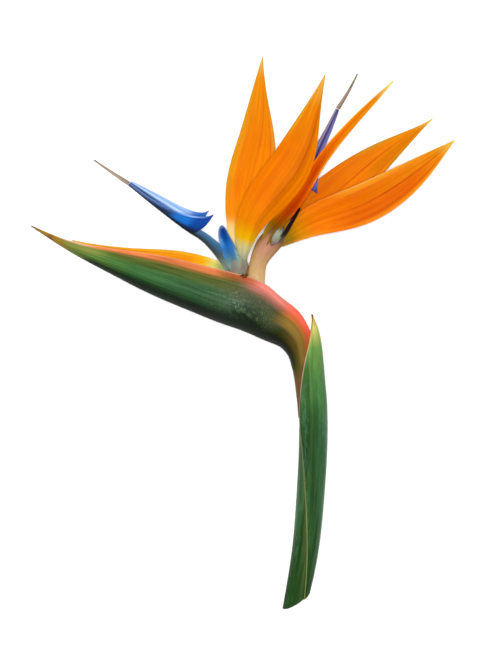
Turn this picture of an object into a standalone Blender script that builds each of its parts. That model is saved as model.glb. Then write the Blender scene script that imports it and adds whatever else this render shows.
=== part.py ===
"""Bird of paradise flower, cut on its stalk and laid down on one side.

The rolled bract, the boat-shaped spathe and every petal are thin closed solids, each worked out
from the line it grows along and the profile that it carries.
It rests on Z = 0 and the side seen from above is +Z; the spathe points to -X and the cut end
of the stalk to -Y.
All sizes below are in millimetres and become metres where a mesh is made.
"""
import math

import bmesh
import bpy
import numpy as np
from mathutils import Vector

MM = 0.001
GAP = 0.3

# Stalk: (x, y, z, radius) from the cut end, through the neck, to the end inside the spathe.
STEM_LINE = [
    (29.3, -147.0, 6.4, 4.3), (34.4, -118.9, 7.4, 5.0), (37.4, -85.9, 8.6, 5.6),
    (38.5, -63.9, 9.6, 5.7), (38.1, -56.0, 10.0, 5.0), (36.4, -48.5, 10.2, 2.7),
    (35.6, -43.0, 10.2, 2.4), (34.0, -30.0, 10.2, 2.3), (32.7, -18.2, 10.2, 2.5),
    (31.4, -9.0, 10.2, 2.9), (28.6, -1.5, 10.2, 3.2), (22.5, 4.5, 10.2, 3.4),
    (12.0, 11.0, 10.2, 3.5), (2.9, 16.1, 10.2, 3.5), (-6.0, 18.6, 10.2, 3.2),
]
STEM_SIDES = 14
CUT_SLOPE = 0.84          # the cut rises towards +X
CUT_LEAN = -0.42          # and its upper side is the longer one
CUT_REACH = 35.0          # how far up the stalk the slanted rows even out

# Rolled bract: (x, y, z, radius across, radius up, start angle, end angle).
# Angles are degrees round the stalk from +X over +Z; the roll starts inside and ends outside.
SHEATH_LINE = [
    (29.4, -147.0, 6.35, 6.9, 6.8, -10, 411), (34.4, -118.9, 7.6, 7.6, 7.5, 5, 443),
    (37.4, -85.9, 8.7, 8.0, 8.0, 40, 473), (38.6, -63.9, 9.7, 8.1, 8.3, 100, 495),
    (38.8, -46.0, 10.4, 8.1, 8.7, 216, 512), (38.5, -36.4, 10.6, 8.0, 8.7, 224, 507),
    (37.9, -25.4, 10.9, 7.6, 8.5, 232, 493),
    (37.4, -14.4, 11.1, 7.2, 8.0, 246, 474), (37.1, -6.2, 11.6, 6.6, 7.0, 263, 457),
    (36.9, 2.1, 12.4, 5.2, 5.2, 280, 440), (37.1, 7.6, 13.2, 3.0, 3.0, 298, 422),
    (37.8, 10.9, 13.8, 0.9, 0.9, 318, 402),
]
SHEATH_WALL = 0.9
SHEATH_ROWS = 26
SHEATH_COLUMNS = (14, 7)  # on the far and the near side of its midrib

# Spathe: keel (x, y), rim (x, y), half thickness, half gap between the rims.
SPATHE_SECTIONS = [
    ((30.9, -46.3), (39.9, -46.3), 4.1, 0.15), ((29.8, -34.2), (38.6, -34.2), 4.1, 0.15),
    ((27.4, -18.8), (36.9, -17.7), 4.6, 0.15), ((25.4, -12.5), (37.2, -9.5), 5.6, 0.15),
    ((21.3, -7.6), (37.5, 1.0), 7.6, 0.15), ((18.6, -6.2), (33.7, 8.9), 8.6, 0.15),
    ((9.8, -2.6), (20.5, 21.0), 10.0, 0.15), ((4.3, -0.1), (14.2, 26.3), 10.5, 2.2),
    ((-1.2, 2.1), (7.0, 30.1), 10.7, 4.2), ((-12.2, 5.9), (-3.4, 33.1), 10.7, 4.3),
    ((-28.7, 12.5), (-20.5, 37.3), 10.0, 1.6), ((-50.7, 21.9), (-43.6, 42.6), 8.2, 1.3),
    ((-72.7, 33.1), (-67.8, 46.4), 5.7, 1.15), ((-94.7, 45.0), (-92.5, 50.5), 3.1, 1.0),
    ((-116.0, 58.9), (-116.8, 59.9), 1.1, 0.35),
]
SPATHE_CENTRE = 10.2      # height of its mid plane: the belly is pressed flat where it rests
SPATHE_WALL = 1.2
SPATHE_HOOK = 0.30        # the share of its length over which the round neck turns into a boat
SPATHE_RIM = 0.9
SPATHE_ROWS = 40
SPATHE_COLUMNS = 19

# Ovaries: (x, y, z, half width, half thickness) from the stalk's end to the top.
OVARIES = {
    "floret_1_ovary": [(-3.1, 22.2, 10.4, 1.4, 1.4), (-3.2, 27.0, 10.5, 3.6, 3.0),
                       (-3.4, 33.0, 10.5, 4.6, 3.6), (-3.4, 38.4, 10.5, 4.8, 3.8)],
    "floret_2_ovary": [(11.6, 17.2, 10.4, 1.3, 1.3), (9.4, 22.2, 10.5, 3.2, 2.8),
                       (7.3, 31.0, 10.5, 4.2, 3.2), (9.2, 39.5, 10.5, 4.7, 3.8),
                       (14.6, 49.5, 10.5, 4.9, 3.8)],
}
OVARY_SIDES = 16

# Blades grow along a line of (x, y, z) points from root to tip. Each half has its greatest
# width as seen from above, the place of that width along the line, a taper, and the angle at
# which it leans, in degrees from the left side of the line over +Z to its right side.
BLADES = {
    "floret_1_sepal_left": {
        "line": [(-0.6, 38.9, 7.7), (3.3, 78.0, 7.0), (10.8, 110.7, 5.5), (11.2, 152.6, 4.0)],
        "claw": 1.8, "left": (12.6, 0.49, 1.05, 8), "right": (12.3, 0.38, 1.70, 170),
        "wall": 1.0, "cup": 0.05},
    "floret_1_sepal_right": {
        "line": [(0.6, 38.9, 13.3), (6.6, 58.5, 22.3), (32.2, 92.7, 25.6), (45.3, 141.7, 22.0)],
        "claw": 1.8, "left": (15.8, 0.51, 1.30, -14), "right": (7.0, 0.45, 2.00, 222),
        "wall": 1.0, "cup": 0.05},
    "floret_1_sepal_low": {
        "line": [(-9.0, 34.0, 10.2), (-32.0, 38.5, 10.2), (-62.0, 43.4, 10.2),
                 (-93.6, 51.4, 10.2)],
        "claw": 1.8, "left": (2.6, 0.30, 0.70, 0), "right": (5.6, 0.32, 0.75, 180),
        "wall": 0.8, "cup": 0.0},
    "floret_2_sepal_narrow": {
        "line": [(13.1, 51.0, 12.8), (28.2, 70.8, 12.6), (44.4, 96.8, 13.9), (83.0, 138.9, 17.0)],
        "claw": 1.4, "left": (2.0, 0.45, 0.90, 62), "right": (2.6, 0.55, 1.00, 118),
        "wall": 0.8, "cup": 0.05},
    "floret_2_sepal_upper": {
        "line": [(15.9, 50.3, 7.6), (52.5, 78.7, 3.8), (81.8, 102.9, 2.2), (105.1, 118.6, 1.0)],
        "claw": 2.2, "left": (10.9, 0.42, 1.31, 7), "right": (9.8, 0.50, 1.32, 168),
        "wall": 0.9, "cup": 0.05},
    "floret_2_sepal_lower": {
        "line": [(17.9, 49.0, 12.0), (35.5, 59.2, 14.5), (68.3, 71.8, 16.0), (116.8, 106.3, 10.0)],
        "claw": 1.8, "left": (10.6, 0.47, 0.97, 14), "right": (10.2, 0.52, 1.32, 172),
        "wall": 1.0, "cup": 0.05},
    "floret_1_small_petal": {
        "line": [(-5.0, 39.2, 13.4), (-7.4, 46.5, 14.2), (-10.0, 53.5, 15.0), (-11.3, 59.6, 15.6)],
        "claw": 1.2, "left": (3.3, 0.50, 0.50, 35), "right": (3.2, 0.45, 0.50, 145),
        "wall": 0.7, "cup": 0.08},
    "floret_2_small_petal": {
        "line": [(16.0, 50.3, 14.0), (22.0, 52.8, 17.2), (26.6, 60.0, 18.8), (31.4, 69.0, 19.4)],
        "claw": 0.6, "left": (1.0, 0.50, 0.40, 62), "right": (1.0, 0.50, 0.40, 118),
        "wall": 0.7, "cup": 0.0},
}
BLADE_ROWS = 20
HALF_COLUMNS = 3
TIP_WIDTH = 0.35

# Arrow petals: the keel line from root to tip, the share of it that is shaft, and each wing as
# (shaft width, head width, flare at the barb, barb length, angle).
ARROWS = {
    "floret_1_arrow_petals": {
        "line": [(-8.7, 38.7, 10.4), (-13.9, 46.2, 10.4), (-21.8, 53.4, 10.4), (-27.6, 57.2, 10.4),
                 (-45.2, 69.6, 10.4), (-61.8, 83.0, 10.4)],
        "shaft": 0.37,
        "near": (2.6, 6.4, 8.0, 4.6, 155), "far": (2.6, 9.0, 5.3, 1.6, 196), "wall": 0.62},
    "floret_2_arrow_petals": {
        "line": [(14.6, 50.3, 10.0), (25.0, 61.5, 9.6), (37.0, 81.5, 9.9), (41.7, 100.0, 11.2),
                 (48.3, 114.3, 12.0), (52.3, 123.4, 12.4)],
        "shaft": 0.48,
        "near": (1.8, 3.2, 2.8, 1.2, 210), "far": (1.8, 2.6, 1.6, 4.0, -30), "wall": 0.62},
}
ARROW_ROWS = 24

# Styles: (x, y, z, half width, half thickness) from the arrow's tip outwards.
STYLES = {
    "floret_1_style": [(-62.6, 82.7, 10.4, 1.3, 0.9), (-72.4, 89.2, 10.8, 0.8, 0.7),
                       (-81.6, 95.6, 11.0, 0.35, 0.35)],
    "floret_2_style": [(52.6, 124.0, 12.2, 1.3, 0.9), (58.5, 133.5, 12.9, 0.8, 0.7),
                       (63.3, 142.8, 13.0, 0.35, 0.35)],
}
STYLE_SIDES = 8

COLOURS = {
    "stem": ((0.13, 0.17, 0.05), 0.55),
    "stem_sheath": ((0.09, 0.20, 0.06), 0.45),
    "spathe": ((0.10, 0.19, 0.07), 0.45),
    "ovary": ((0.62, 0.42, 0.22), 0.50),
    "sepal": ((0.92, 0.25, 0.01), 0.45),
    "arrow_petals": ((0.01, 0.07, 0.45), 0.40),
    "small_petal": ((0.01, 0.06, 0.38), 0.40),
    "style": ((0.55, 0.38, 0.26), 0.50),
}


def smooth_values(knots, values, at):
    """Cubic Hermite curve through the values, with slopes taken from the neighbours."""
    knots = np.asarray(knots, float)
    values = np.asarray(values, float)
    steps = np.diff(knots)[:, None]
    slopes = np.diff(values, axis=0) / steps
    tangents = np.empty_like(values)
    share = steps[1:] / (steps[1:] + steps[:-1])
    tangents[1:-1] = slopes[:-1] * share + slopes[1:] * (1 - share)
    tangents[0] = 1.5 * slopes[0] - 0.5 * tangents[1]
    tangents[-1] = 1.5 * slopes[-1] - 0.5 * tangents[-2]
    span = np.clip(np.searchsorted(knots, at, side="right") - 1, 0, len(steps) - 1)
    step = steps[span]
    s = (np.asarray(at)[:, None] - knots[span][:, None]) / step
    return ((1 + 2 * s) * (1 - s) ** 2 * values[span] + s * (1 - s) ** 2 * step * tangents[span]
            + s * s * (3 - 2 * s) * values[span + 1] + s * s * (s - 1) * step * tangents[span + 1])


def along(rows, at, place=3):
    """Rows of numbers read along a line: at runs from 0 to 1 by the length of its first columns."""
    rows = np.asarray(rows, float)
    lengths = np.linalg.norm(np.diff(rows[:, :place], axis=0), axis=1)
    knots = np.r_[0.0, np.cumsum(lengths)]
    return smooth_values(knots / knots[-1], rows, at)


def left_of(line):
    """Unit vectors in the XY plane, square to the line and to its left."""
    run = np.gradient(line[:, :2], axis=0)
    run /= np.linalg.norm(run, axis=1)[:, None]
    return np.column_stack([-run[:, 1], run[:, 0]])


def material_for(name):
    """The Principled material of a piece, in the colour of its kind."""
    kind = max((key for key in COLOURS if key in name), key=len)
    colour, roughness = COLOURS[kind]
    material = bpy.data.materials.new(name)
    material.use_nodes = True
    shader = material.node_tree.nodes["Principled BSDF"]
    shader.inputs["Base Color"].default_value = (*colour, 1.0)
    shader.inputs["Roughness"].default_value = roughness
    shader.inputs["Metallic"].default_value = 0.0
    return material


def add_solid(name, mesh, root, flower):
    """A named object with its origin at the piece's root, shaded smooth, under the flower."""
    root = Vector(root) * MM
    for vertex in mesh.verts:
        vertex.co = vertex.co * MM - root
    bmesh.ops.recalc_face_normals(mesh, faces=mesh.faces)
    data = bpy.data.meshes.new(name)
    mesh.to_mesh(data)
    mesh.free()
    data.shade_smooth()
    data.set_sharp_from_angle(angle=math.radians(50))
    data.materials.append(material_for(name))
    piece = bpy.data.objects.new(name, data)
    piece.location = root
    piece.parent = flower
    bpy.context.scene.collection.objects.link(piece)
    return piece


def add_grid(mesh, points):
    """Vertices for a grid of points and its faces, split into triangles the same way throughout."""
    rows = [[mesh.verts.new(point) for point in row] for row in points]
    for upper, lower in zip(rows[:-1], rows[1:]):
        for a, b, c, d in zip(upper[:-1], upper[1:], lower[1:], lower[:-1]):
            mesh.faces.new((a, b, c))
            mesh.faces.new((a, c, d))
    return rows


def slab(outer, inner):
    """A closed sheet: two grids alike, joined round their four edges."""
    mesh = bmesh.new()
    top = add_grid(mesh, outer)
    bottom = add_grid(mesh, inner)
    edge = [(i, 0) for i in range(len(top))]
    edge += [(len(top) - 1, j) for j in range(1, len(top[0]))]
    edge += [(i, len(top[0]) - 1) for i in range(len(top) - 2, -1, -1)]
    edge += [(0, j) for j in range(len(top[0]) - 2, 0, -1)]
    for (i, j), (k, m) in zip(edge, edge[1:] + edge[:1]):
        mesh.faces.new((top[i][j], top[k][m], bottom[k][m], bottom[i][j]))
    return mesh


def tube(rings):
    """A closed rod: rings of points bridged one to the next, with both ends filled."""
    mesh = bmesh.new()
    loops = [[mesh.verts.new(point) for point in ring] for ring in rings]
    edges = [[mesh.edges.new(pair) for pair in zip(loop, loop[1:] + loop[:1])] for loop in loops]
    for first, second in zip(edges[:-1], edges[1:]):
        bmesh.ops.bridge_loops(mesh, edges=first + second)
    mesh.faces.new(loops[0])
    mesh.faces.new(loops[-1])
    return mesh


def rod_rings(stations, count, sides, square=2.0):
    """Ovals square to a line in the XY plane, from (x, y, z, half width, half thickness) rows."""
    rows = along(stations, np.linspace(0.0, 1.0, count))
    turn = np.arange(sides) / sides * 2 * math.pi
    across = np.sign(np.cos(turn)) * np.abs(np.cos(turn)) ** (2 / square)
    up = np.sign(np.sin(turn)) * np.abs(np.sin(turn)) ** (2 / square)
    side = left_of(rows)
    flat = rows[:, None, :2] + side[:, None] * (rows[:, 3, None] * across)[..., None]
    height = rows[:, 2, None] + rows[:, 4, None] * up
    return np.dstack([flat, height]), rows


def slant_cut(points, rows):
    """Shift the rows near the cut end along the stalk, so that they end on one slanted plane."""
    lengths = np.r_[0.0, np.cumsum(np.linalg.norm(np.diff(rows[:, :2], axis=0), axis=1))]
    fade = np.clip(1 - lengths / CUT_REACH, 0, 1) ** 2
    side = left_of(rows)
    run = np.column_stack([side[:, 1], -side[:, 0]])
    offset = points - rows[:, None, :3]
    right = -(offset[..., :2] * side[:, None]).sum(-1)
    shift = (CUT_SLOPE * right + CUT_LEAN * offset[..., 2]) * fade[:, None]
    points[..., :2] += shift[..., None] * run[:, None]
    return points


def build_stem(flower):
    """The stalk: one rod from the cut, through the neck, to where the florets stand."""
    stations = [(x, y, z, radius, radius) for x, y, z, radius in STEM_LINE]
    rings, rows = rod_rings(stations, 44, STEM_SIDES)
    rings = slant_cut(rings, rows)
    return add_solid("stem", tube(rings), STEM_LINE[0][:3], flower)


def build_sheath(flower):
    """The rolled bract: a sheet wound round the stalk on a slow spiral, open towards its point."""
    rows = along(SHEATH_LINE, np.linspace(0.0, 1.0, SHEATH_ROWS))
    far, near = (np.linspace(0.0, 1.0, count + 1) for count in SHEATH_COLUMNS)
    angle = np.hstack([rows[:, 5, None] + (360 - rows[:, 5, None]) * far[:-1],
                       360 + (rows[:, 6, None] - 360) * near])
    pitch = (SHEATH_WALL + GAP) * (angle - 360) / 360
    wall = np.minimum(SHEATH_WALL, 0.8 * rows[:, 3, None])
    side = -left_of(rows)
    grids = []
    for depth in (0.0, wall):
        across = (rows[:, 3, None] + pitch - depth) * np.cos(np.radians(angle))
        up = (rows[:, 4, None] + pitch - depth) * np.sin(np.radians(angle))
        flat = rows[:, None, :2] + side[:, None] * across[..., None]
        points = slant_cut(np.dstack([flat, rows[:, 2, None] + up]), rows)
        points[..., 2] = np.maximum(points[..., 2], 0.0)
        grids.append(points)
    return add_solid("stem_sheath", slab(*grids), SHEATH_LINE[0][:3], flower)


def build_spathe(flower):
    """The boat-shaped bract: a folded sheet, round at the belly and closing towards its rims."""
    table = np.array([(*keel, *rim, thick, gap) for keel, rim, thick, gap in SPATHE_SECTIONS])
    middle = (table[:, :2] + table[:, 2:4]) / 2
    at = np.linspace(0.0, 1.0, SPATHE_ROWS)
    table = along(np.hstack([middle, table]), at, place=2)[:, 2:]
    keel, rim, thick = table[:, :2], table[:, 2:4], table[:, 4]
    gap = np.maximum(table[:, 5], GAP / 2)
    across = np.linspace(-1.0, 1.0, SPATHE_COLUMNS)
    neck = np.clip(1 - at / SPATHE_HOOK, 0, 1)[:, None]
    reach = neck * (1 - np.cos(math.pi * across)) / 2 + (1 - neck) * np.abs(across) ** 1.3
    wall = np.minimum(SPATHE_WALL, 0.45 * thick)
    lip = np.minimum(SPATHE_RIM, 0.45 * thick)
    depth = np.linalg.norm(rim - keel, axis=1)
    grids = []
    for inside in (0.0, 1.0):
        sunk = inside * np.minimum(1.4 * wall, 0.35 * depth) / depth
        place = sunk[:, None] + (1 - sunk[:, None]) * reach
        flat = keel[:, None] + (rim - keel)[:, None] * place[..., None]
        belly = (thick - inside * wall)[:, None] * np.sin(math.pi * np.abs(across))
        edge = (gap + (1 - inside) * lip)[:, None] * across ** 2
        height = SPATHE_CENTRE + np.sign(across) * (belly + edge)
        grids.append(np.dstack([flat, np.maximum(height, 0.0)]))
    root = (*middle[0], SPATHE_CENTRE)
    return add_solid("spathe", slab(*grids), root, flower)


def half_width(at, claw, width, widest, taper):
    """A lance shape: greatest at its widest place, narrowing to a claw and to a point."""
    fall = taper * (1 - widest) / widest
    at = np.clip(at, 1e-6, 1 - 1e-6)
    return (claw * (1 - at) ** 3 + TIP_WIDTH
            + width * (at / widest) ** taper * ((1 - at) / (1 - widest)) ** fall)


def folded_sheet(line, left, right, slide, wall, cup):
    """Two halves leaning from one line; left and right give width and angle for each row.

    The second face is the first one moved square to the fold, far enough to give the wall.
    """
    share = np.linspace(1.0, 0.0, HALF_COLUMNS + 1)
    side = left_of(line)
    run = np.column_stack([side[:, 1], -side[:, 0]])
    halves = []
    for (width, angle), sign in ((left, 1.0), (right, -1.0)):
        lean = np.radians(angle)
        bulge = sign * cup * width[:, None] * np.sin(math.pi * share)
        across = width[:, None] * share * math.cos(lean) - bulge * math.sin(lean)
        up = width[:, None] * share * math.sin(lean) + bulge * math.cos(lean)
        halves.append((across, up))
    across = np.hstack([halves[0][0], halves[1][0][:, -2::-1]])
    up = np.hstack([halves[0][1], halves[1][1][:, -2::-1]])
    flat = line[:, None, :2] + side[:, None] * across[..., None] - run[:, None] * slide[..., None]
    outer = np.dstack([flat, line[:, 2, None] + up])
    lean_left, lean_right = math.radians(left[1]), math.radians(right[1])
    spread = np.array([math.cos(lean_left) - math.cos(lean_right),
                       math.sin(lean_left) - math.sin(lean_right)]) / 2
    opening = np.linalg.norm(spread)
    square = np.array([-spread[1], spread[0]]) / opening
    depth = wall / opening
    inner = outer.copy()
    inner[..., :2] -= (side * square[0] * depth)[:, None]
    inner[..., 2] -= square[1] * depth
    return outer, inner


def build_blade(name, blade, flower):
    """A sepal or a small petal: a lance-shaped sheet with a fold along its midrib."""
    at = np.linspace(0.0, 1.0, BLADE_ROWS)
    line = along(blade["line"], at)
    halves = []
    for key in ("left", "right"):
        width, widest, taper, angle = blade[key]
        seen = half_width(at, blade["claw"], width, widest, taper)
        halves.append((seen / max(abs(math.cos(math.radians(angle))), 0.2), angle))
    slide = np.zeros((BLADE_ROWS, 2 * HALF_COLUMNS + 1))
    outer, inner = folded_sheet(line, *halves, slide, blade["wall"], blade["cup"])
    return add_solid(name, slab(outer, inner), blade["line"][0], flower)


def build_arrow(name, arrow, flower):
    """The arrow-shaped pair of petals: a folded shaft whose head ends in two backward barbs."""
    head_rows = ARROW_ROWS // 2 + 2
    shaft_rows = ARROW_ROWS - head_rows
    shaft = np.linspace(0.0, arrow["shaft"], shaft_rows)
    head = arrow["shaft"] + (1 - arrow["shaft"]) * np.linspace(0.0, 1.0, head_rows) ** 1.4 + 1e-3
    at = np.r_[shaft, np.minimum(head, 1.0)]
    line = along(arrow["line"], at)
    reach = np.r_[np.zeros(shaft_rows), 1 - np.linspace(0.0, 1.0, head_rows) ** 1.4]
    in_head = np.r_[np.zeros(shaft_rows), np.ones(head_rows)]
    share = np.linspace(1.0, 0.0, HALF_COLUMNS + 1)
    halves, slides = [], []
    for key in ("near", "far"):
        stalk, broad, flare, barb, angle = arrow[key]
        width = np.where(in_head > 0, 1.2 + broad * reach ** 0.8 + flare * reach ** 9, stalk)
        halves.append((width, angle))
        slides.append(barb * (reach ** 8)[:, None] * (1 - (1 - share) ** 1.8))
    slide = np.hstack([slides[0], slides[1][:, -2::-1]])
    outer, inner = folded_sheet(line, *halves, slide, arrow["wall"], 0.0)
    return add_solid(name, slab(outer, inner), arrow["line"][0], flower)


def build_rod(name, stations, count, sides, square, flower):
    """An ovary or a style: ovals along a line, with both ends closed."""
    rings, _ = rod_rings(stations, count, sides, square)
    return add_solid(name, tube(rings), stations[0][:3], flower)


def clear_scene():
    """Start from an empty scene."""
    for piece in list(bpy.data.objects):
        bpy.data.objects.remove(piece)


def build_flower():
    """Every piece, under one empty."""
    clear_scene()
    flower = bpy.data.objects.new("bird_of_paradise_flower", None)
    bpy.context.scene.collection.objects.link(flower)
    build_stem(flower)
    build_sheath(flower)
    build_spathe(flower)
    for name, stations in OVARIES.items():
        build_rod(name, stations, 9, OVARY_SIDES, 2.6, flower)
    for name, blade in BLADES.items():
        build_blade(name, blade, flower)
    for name, arrow in ARROWS.items():
        build_arrow(name, arrow, flower)
    for name, stations in STYLES.items():
        build_rod(name, stations, 7, STYLE_SIDES, 2.0, flower)
    bpy.context.view_layer.update()


build_flower()
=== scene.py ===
import math

import bmesh
import bpy
import numpy as np
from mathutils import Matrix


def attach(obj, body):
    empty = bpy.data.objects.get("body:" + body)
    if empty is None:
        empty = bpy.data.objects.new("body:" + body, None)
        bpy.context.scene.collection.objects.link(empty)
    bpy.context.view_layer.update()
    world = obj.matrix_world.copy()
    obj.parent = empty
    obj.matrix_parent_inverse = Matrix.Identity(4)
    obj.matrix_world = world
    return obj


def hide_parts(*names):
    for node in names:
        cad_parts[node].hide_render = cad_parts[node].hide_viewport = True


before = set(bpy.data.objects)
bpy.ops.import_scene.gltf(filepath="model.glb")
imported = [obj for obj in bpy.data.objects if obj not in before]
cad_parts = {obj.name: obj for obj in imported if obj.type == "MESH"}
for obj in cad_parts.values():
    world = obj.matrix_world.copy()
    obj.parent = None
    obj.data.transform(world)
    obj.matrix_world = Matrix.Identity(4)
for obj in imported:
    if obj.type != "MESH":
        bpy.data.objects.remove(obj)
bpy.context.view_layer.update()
print("frame loaded")

mm = 0.001
sharpFold = math.radians(48)
domeRows = 9
hair = 0.35
marginThinning = 0.7


def linear(hexColour):
    # sRGB to linear light: a straight foot, then a power of 2.4.
    parts = np.array([int(hexColour[i:i + 2], 16) for i in (1, 3, 5)]) / 255
    light = np.where(parts <= 0.04045, parts / 12.92, ((parts + 0.055) / 1.055) ** 2.4)
    return (*light.tolist(), 1.0)


def addNode(tree, kind, feeds=None, stops=None, **settings):
    # One shader node with its settings; feeds gives an input a value or another node's output.
    made = tree.nodes.new("ShaderNode" + kind)
    for setting, value in settings.items():
        setattr(made, setting, value)
    if stops:
        bar = made.color_ramp.elements
        bar[0].position, bar[1].position = stops[0][0], stops[-1][0]
        for place, _ in stops[1:-1]:
            bar.new(place)
        for element, (_, colour) in zip(bar, stops):
            element.color = linear(colour)
    for socket, value in (feeds or {}).items():
        if isinstance(value, bpy.types.NodeSocket):
            tree.links.new(value, made.inputs[socket])
        else:
            made.inputs[socket].default_value = value
    return made.outputs


def startMaterial(name, **shine):
    # A Principled material; shine sets its constant sockets, with _ for a space.
    material = bpy.data.materials.new(name)
    material.use_nodes = True
    shader = material.node_tree.nodes["Principled BSDF"]
    for socket, value in shine.items():
        shader.inputs[socket.replace("_", " ")].default_value = value
    return material, material.node_tree, shader


def window(tree, value, edges):
    # Four edges: 0 up to the first, 1 from the second to the third, 0 again past the fourth.
    # Two edges: 0 at the first and beyond it, 1 past the second. No edges: 1 everywhere.
    share = 1.0
    for none, full in filter(None, (edges[:2], edges[:1:-1])):
        step = addNode(tree, "MapRange", {0: value, 1: none, 2: full},
                       interpolation_type="SMOOTHSTEP")[0]
        share = addNode(tree, "Math", {0: share, 1: step}, operation="MULTIPLY")[0]
    return share


def tint(tree, colour, shade, *shares):
    # Another colour laid over the first, as strongly as all the shares multiplied.
    share = 1.0
    for factor in shares:
        share = addNode(tree, "Math", {0: share, 1: factor}, operation="MULTIPLY")[0]
    shade = linear(shade) if isinstance(shade, str) else shade
    return addNode(tree, "Mix", {0: share, 6: colour, 7: shade}, data_type="RGBA")[2]


def paintTissue(tree, across, along, look):
    # A ground colour that runs along the piece, then thin washes over it in turn. Each wash has
    # a colour, a strength, a window across and a window along.
    colour = addNode(tree, "ValToRGB", {0: along}, stops=look["ground"])[0]
    for shade, strength, width, length in look.get("washes", []):
        colour = tint(tree, colour, shade, strength, window(tree, across, width),
                      window(tree, along, length))
    return colour


def varyLight(tree, colour, *swings):
    # The colour grows lighter and darker with each noise, from one factor to another.
    for noise, low, high, dim, bright in swings:
        factor = addNode(tree, "MapRange", {0: noise, 1: low, 2: high, 3: dim, 4: bright})[0]
        colour = addNode(tree, "HueSaturation", {2: factor, 4: colour})[0]
    return colour


def readPlaces(tree):
    # The leaf coordinates, their two numbers apart, and the place in space.
    leaf = addNode(tree, "UVMap", uv_map="leaf")[0]
    return leaf, addNode(tree, "SeparateXYZ", {0: leaf}), addNode(tree, "TexCoord")["Object"]


def streakNoise(tree, place, across, along, detail, **more):
    # Noise drawn out lengthwise: the place is stretched by across and along before it is read.
    drawn = addNode(tree, "VectorMath", {0: place, 1: (across, along, 1.0)},
                    operation="MULTIPLY")[0]
    return addNode(tree, "TexNoise", {"Vector": drawn, "Scale": 1.0, "Detail": detail, **more})[0]


def offMiddle(tree, value):
    # How far a value lies from one half.
    away = addNode(tree, "Math", {0: value, 1: 0.5}, operation="SUBTRACT")[0]
    return addNode(tree, "Math", {0: away}, operation="ABSOLUTE")[0]


def finishSkin(tree, shader, colour, grain, rough, *reliefs):
    # The colour, a roughness that follows the grain, and bumps stacked from coarse to fine.
    spread = addNode(tree, "MapRange", {0: grain, 3: rough[0], 4: rough[1]})[0]
    below = {}
    for strength, depth, height in reliefs:
        feeds = {"Strength": strength, "Distance": depth, "Height": height, **below}
        below = {"Normal": addNode(tree, "Bump", feeds)[0]}
    for socket, value in (("Base Color", colour), ("Roughness", spread), *below.items()):
        tree.links.new(value, shader.inputs[socket])


# Shapes, worked out as whole arrays.

def readAlong(rows, at, place=3):
    # Smooth curve through rows of numbers: a cubic Hermite whose slopes come from the neighbours.
    # The parameter is the length walked over the first columns, from 0 to 1.
    rows = np.asarray(rows, float)
    knots = np.r_[0.0, np.cumsum(np.linalg.norm(np.diff(rows[:, :place], axis=0), axis=1))]
    knots = knots / knots[-1]
    step = np.diff(knots)[:, None]
    slope = np.diff(rows, axis=0) / step
    share = step[1:] / (step[1:] + step[:-1])
    tangent = np.empty_like(rows)
    tangent[1:-1] = slope[:-1] * share + slope[1:] * (1 - share)
    tangent[0] = 1.5 * slope[0] - 0.5 * tangent[1]
    tangent[-1] = 1.5 * slope[-1] - 0.5 * tangent[-2]
    span = np.clip(np.searchsorted(knots, at, side="right") - 1, 0, len(step) - 1)
    s = (np.asarray(at)[:, None] - knots[span][:, None]) / step[span]
    return ((1 + 2 * s) * (1 - s) ** 2 * rows[span] + s * (1 - s) ** 2 * step[span] * tangent[span]
            + s * s * (3 - 2 * s) * rows[span + 1]
            + s * s * (s - 1) * step[span] * tangent[span + 1])


def leftOf(line):
    # Unit vectors in the ground plane, square to the line and to its left.
    run = np.gradient(line[:, :2], axis=0)
    run /= np.linalg.norm(run, axis=1)[:, None]
    return np.column_stack([-run[:, 1], run[:, 0]])


def smoothStep(low, high, value):
    # 0 below low, 1 above high, and 3t^2 - 2t^3 between them.
    t = np.clip((value - low) / (high - low), 0, 1)
    return t * t * (3 - 2 * t)


def placePiece(name, points, faces, layers, node, material):
    # One mesh: faces turned to enclose a positive volume, UV layers given corner by corner.
    loops = points[faces]
    pairs = np.cross(loops[:, 1] - loops[:, 0], loops[:, 2] - loops[:, 0])
    pairs += np.cross(loops[:, 2] - loops[:, 0], loops[:, 3] - loops[:, 0])
    if (pairs * loops.mean(axis=1)).sum() < 0:
        faces = faces[:, ::-1]
        layers = {layer: corners[:, ::-1] for layer, corners in layers.items()}
    mesh = bpy.data.meshes.new(name)
    mesh.from_pydata((points * mm).tolist(), [], faces.tolist())
    for layer, corners in layers.items():
        mesh.uv_layers.new(name=layer).data.foreach_set("uv", corners.ravel())
    mesh.shade_smooth()
    mesh.set_sharp_from_angle(angle=sharpFold)
    mesh.materials.append(material)
    piece = bpy.data.objects.new(name, mesh)
    bpy.context.scene.collection.objects.link(piece)
    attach(piece, "root")
    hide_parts(node)
    return piece


def quads(grid):
    # The four corners of every cell of a grid.
    return np.stack([grid[:-1, :-1], grid[1:, :-1], grid[1:, 1:], grid[:-1, 1:]], axis=2)


def leafGrid(across, at):
    # Every point's UV: its place across and its place along.
    return np.dstack(np.broadcast_arrays(across[None, :], at[:, None]))


def sheetPiece(name, upper, lower, layers, node, slot, material):
    # A closed sheet: two like grids joined round their edge, with the same UVs on both faces.
    rows, columns = upper.shape[:2]
    count = rows * columns
    index = np.arange(count).reshape(rows, columns)
    top = quads(index).reshape(-1, 4)
    edge = np.concatenate([index[:, 0], index[-1, 1:], index[-2::-1, -1], index[0, -2:0:-1]])
    ahead = np.roll(edge, -1)
    wall = np.stack([ahead, edge, edge + count, ahead + count], axis=-1)
    faces = np.concatenate([top, top[:, ::-1] + count, wall])
    points = np.concatenate([upper.reshape(-1, 3), lower.reshape(-1, 3)])
    layers = {layer: places.reshape(-1, 2)[faces % count] for layer, places in layers.items()}
    return placePiece(name, points, faces, layers, node, material)


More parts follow.
